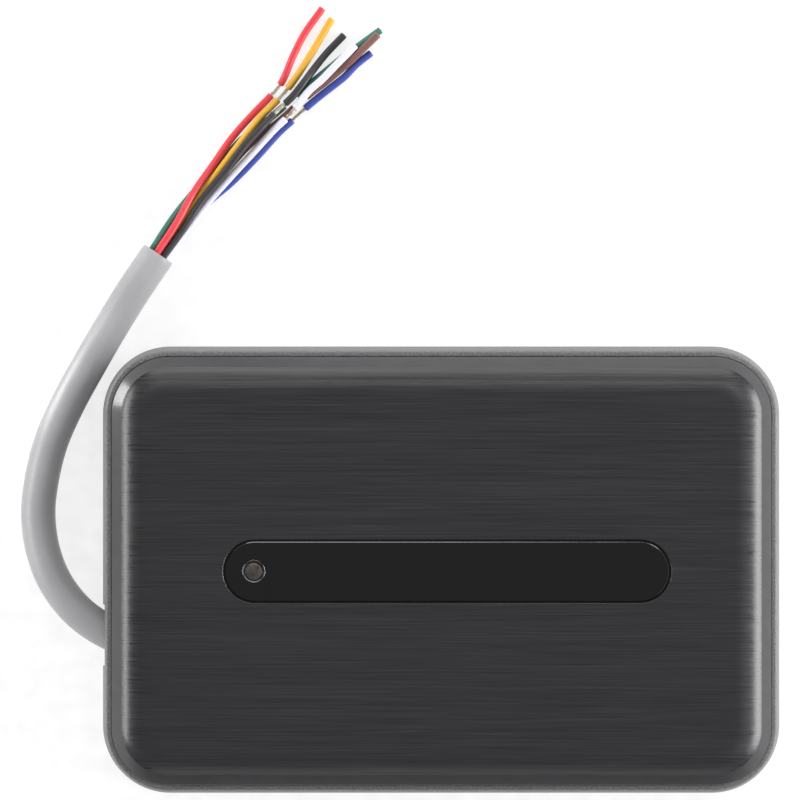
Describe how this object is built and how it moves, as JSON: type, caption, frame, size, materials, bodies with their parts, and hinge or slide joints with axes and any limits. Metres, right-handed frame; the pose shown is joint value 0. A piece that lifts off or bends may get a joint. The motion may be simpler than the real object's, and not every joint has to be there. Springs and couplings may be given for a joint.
{
  "type": "rfid card reader",
  "caption": "Flat surface-mounted card reader: brushed dark cover with a smoked light bar and lens on a textured base, and a multi-core cable leaving its rear bay.",
  "frame": {"origin": "centre of the rear mounting face, which the reader lies on", "axes": "+X along the long side, to the right as the front is seen; +Y along the short side, upwards on the front; +Z out of the front face"},
  "size_m": [0.1344, 0.1396, 0.02],
  "materials": {
    "cover_brushed": "brushed along X, satin",
    "base_textured": "fine spark texture",
    "smoked_window": "polished, smoked",
    "lens_clear": "clear, polished",
    "adhesive_tape": "matt foam",
    "black_rubber": "matt",
    "white_nylon": "natural nylon",
    "board_laminate": "green solder mask",
    "zinc_steel": "zinc plated",
    "enamelled_copper": "enamelled copper wire",
    "chip_epoxy": "moulded epoxy",
    "can_metal": "drawn can",
    "buzzer_plastic": "moulded",
    "led_package": "moulded",
    "ferrite": "sintered ferrite",
    "jacket_grey": "satin PVC",
    "core_red": "satin PVC",
    "core_yellow": "satin PVC",
    "core_black": "satin PVC",
    "core_white": "satin PVC",
    "core_brown": "satin PVC",
    "core_green": "satin PVC",
    "core_blue": "satin PVC"
  },
  "bodies": {
    "base": {"antenna_coil": "enamelled_copper", "base_housing": "base_textured", "board_header": "white_nylon", "board_screw_1": "zinc_steel", "board_screw_2": "zinc_steel", "board_screw_3": "zinc_steel", "board_screw_4": "zinc_steel", "buzzer": "buzzer_plastic", "cable_grommet": "black_rubber", "cable_jacket": "jacket_grey", "cable_plug": "white_nylon", "cable_tie": "white_nylon", "coil_former": "white_nylon", "core_black": "core_black", "core_blue": "core_blue", "core_brown": "core_brown", "core_green": "core_green", "core_red": "core_red", "core_white": "core_white", "core_yellow": "core_yellow", "cover_seal": "black_rubber", "crystal": "can_metal", "electrolytic_capacitor_1": "can_metal", "electrolytic_capacitor_2": "can_metal", "lead_black": "core_black", "lead_blue": "core_blue", "lead_brown": "core_brown", "lead_green": "core_green", "lead_red": "core_red", "lead_white": "core_white", "lead_yellow": "core_yellow", "main_board": "board_laminate", "microcontroller": "chip_epoxy", "power_inductor": "ferrite", "rf_chip": "chip_epoxy", "status_led": "led_package", "surge_diode_1": "chip_epoxy", "surge_diode_2": "chip_epoxy", "tamper_sensor": "chip_epoxy", "voltage_regulator": "chip_epoxy"},
    "cover": {"front_cover": "cover_brushed", "window_bar": "smoked_window", "window_tape": "adhesive_tape", "led_lens": "lens_clear"}
  },
  "joints": [
    {"name": "cover_lift", "type": "slide", "parent": "base", "child": "cover", "axis": [0, 0, 1], "range_m": [0, 0.03]}
  ]
}
